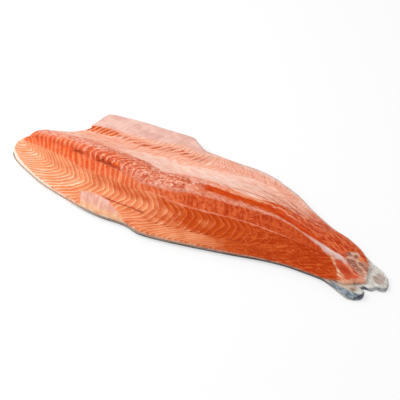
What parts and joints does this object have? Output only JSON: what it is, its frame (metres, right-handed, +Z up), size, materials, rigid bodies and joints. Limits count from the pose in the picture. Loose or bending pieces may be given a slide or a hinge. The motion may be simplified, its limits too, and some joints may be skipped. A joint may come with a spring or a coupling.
{
  "type": "raw salmon fillet",
  "caption": "Whole boned side of raw salmon lying skin side down, with orange flesh in flakes, a pale belly flap and silver skin left on.",
  "frame": {"origin": "on the surface that the fillet lies on, under the middle of its outline", "axes": "+X from the collar end to the tail, +Y from the back edge to the belly edge, +Z up"},
  "size_m": [0.5998, 0.1976, 0.034],
  "materials": {
    "flesh": "moist raw flesh, orange with cream lines of fat, satin to glossy",
    "skin": "wet silver fish skin with fine scales, dark grey towards the back, glossy"
  },
  "bodies": {
    "root": {"flesh": "flesh", "skin": "skin"}
  },
  "joints": []
}
